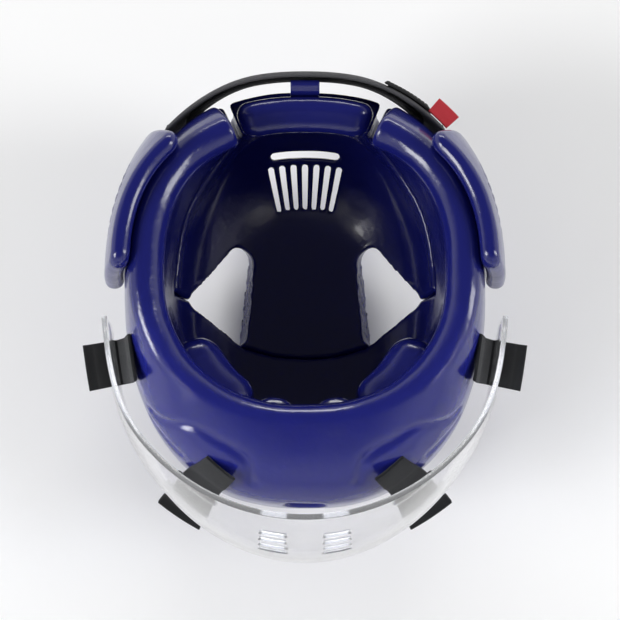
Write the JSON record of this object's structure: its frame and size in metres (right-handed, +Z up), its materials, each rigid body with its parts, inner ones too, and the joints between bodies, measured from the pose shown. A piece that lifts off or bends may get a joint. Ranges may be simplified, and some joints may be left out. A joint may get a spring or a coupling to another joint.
{
  "type": "taekwondo headgear with face shield",
  "caption": "Dipped-foam sparring helmet with crown holes, ear pads, rear elastic strap and a clear face shield held by hook-and-loop straps, lying on its crown.",
  "frame": {"origin": "centre of the bounding box's bottom, on the surface that the crown lies on", "axes": "+Z up, out of the head opening as it lies; +Y towards the back strap; -Y towards the face shield; +X to the wearer's right"},
  "size_m": [0.25, 0.304, 0.2476],
  "materials": {
    "vinyl_foam": "navy vinyl coating dipped over closed-cell foam, glossy, with soft wrinkles",
    "clear_sheet": "clear moulded polycarbonate with polished edges",
    "hook_webbing": "black hook-and-loop webbing, stitched",
    "elastic_knit": "dark grey knitted elastic with black edges",
    "tag_weave": "red woven tape, bare"
  },
  "bodies": {
    "root": {"front_band": "vinyl_foam", "crown_flap": "vinyl_foam", "occipital_pad": "vinyl_foam", "ear_pad_left": "vinyl_foam", "ear_pad_right": "vinyl_foam", "brow_pad_left": "vinyl_foam", "brow_pad_mid_left": "vinyl_foam", "brow_pad_mid_right": "vinyl_foam", "brow_pad_right": "vinyl_foam", "face_shield": "clear_sheet", "shield_strap_side_left": "hook_webbing", "shield_strap_front_left": "hook_webbing", "shield_strap_front_right": "hook_webbing", "shield_strap_side_right": "hook_webbing", "rear_elastic_strap": "elastic_knit", "strap_end_patch": "hook_webbing", "inner_strap": "hook_webbing", "back_tab": "vinyl_foam", "side_tag": "tag_weave"}
  },
  "joints": []
}
